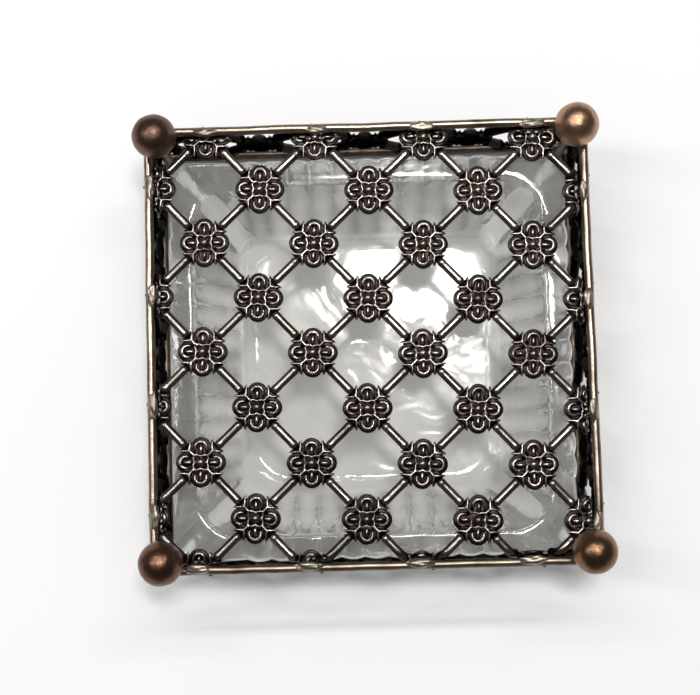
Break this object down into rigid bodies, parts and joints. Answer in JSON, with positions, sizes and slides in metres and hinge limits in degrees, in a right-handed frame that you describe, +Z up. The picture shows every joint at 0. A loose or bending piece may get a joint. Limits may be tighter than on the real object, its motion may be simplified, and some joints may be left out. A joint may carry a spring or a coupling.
{
  "type": "flower frog",
  "caption": "Square metal lattice cage with ball finials that stands over a shallow reeded glass dish and holds flower stems upright.",
  "frame": {"origin": "centre of the footprint, on the table", "axes": "+Z up, +X and +Y square to the four walls, -Y towards the viewer"},
  "size_m": [0.1056, 0.1056, 0.0367],
  "materials": {
    "clear_glass": "fire-polished pressed glass",
    "antiqued_brass": "dark antiqued relief with bright rubbed edges",
    "bronze_wire": "brown bronze wire, rubbed bright on top",
    "copper": "mottled copper plating",
    "solder": "smeared pale solder"
  },
  "bodies": {
    "dish": {"glass_dish": "clear_glass"},
    "frog": {"top_flowers": "antiqued_brass", "top_edge_flowers": "antiqued_brass", "top_bars": "antiqued_brass", "front_wall_flowers": "antiqued_brass", "front_wall_bars": "antiqued_brass", "right_wall_flowers": "antiqued_brass", "right_wall_bars": "antiqued_brass", "back_wall_flowers": "antiqued_brass", "back_wall_bars": "antiqued_brass", "left_wall_flowers": "antiqued_brass", "left_wall_bars": "antiqued_brass", "front_top_rail": "bronze_wire", "front_bottom_rail": "bronze_wire", "right_top_rail": "bronze_wire", "right_bottom_rail": "bronze_wire", "back_top_rail": "bronze_wire", "back_bottom_rail": "bronze_wire", "left_top_rail": "bronze_wire", "left_bottom_rail": "bronze_wire", "front_left_post": "bronze_wire", "front_right_post": "bronze_wire", "back_right_post": "bronze_wire", "back_left_post": "bronze_wire", "front_left_ball": "copper", "front_right_ball": "copper", "back_right_ball": "copper", "back_left_ball": "copper", "top_solder": "solder", "bottom_solder": "solder"}
  },
  "joints": [
    {"name": "frog_lift", "type": "slide", "parent": "dish", "child": "frog", "axis": [0, 0, 1], "range_m": [0, 0.05]}
  ]
}
